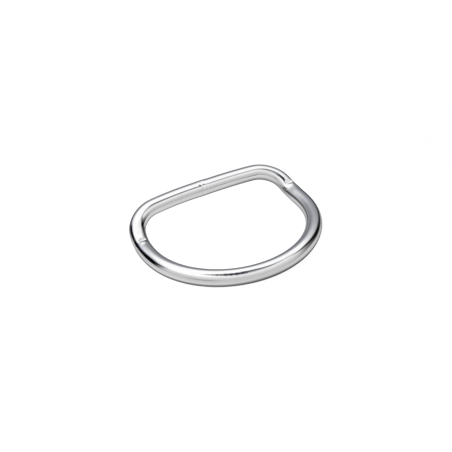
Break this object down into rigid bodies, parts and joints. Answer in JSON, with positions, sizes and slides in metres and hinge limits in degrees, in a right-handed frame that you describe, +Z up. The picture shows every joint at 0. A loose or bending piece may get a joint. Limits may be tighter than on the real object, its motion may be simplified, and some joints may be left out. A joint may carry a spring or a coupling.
{
  "type": "bent d-ring",
  "caption": "One-piece D-ring of welded round wire: a straight bar for webbing, a round bow for a hook, and arms folded so that the bar side stands up from the bow side.",
  "frame": {"origin": "centre of the outline seen from above, at the surface that the ring lies on", "axes": "+X along the straight bar, +Y from the round bow to the bar, +Z up from the flat bow side"},
  "size_m": [0.0616, 0.0501, 0.0114],
  "materials": {
    "plated_wire": "bright nickel plate on drawn steel wire, with fine lengthwise drawing lines and light handling wear"
  },
  "bodies": {
    "root": {"d_ring": "plated_wire"}
  },
  "joints": []
}
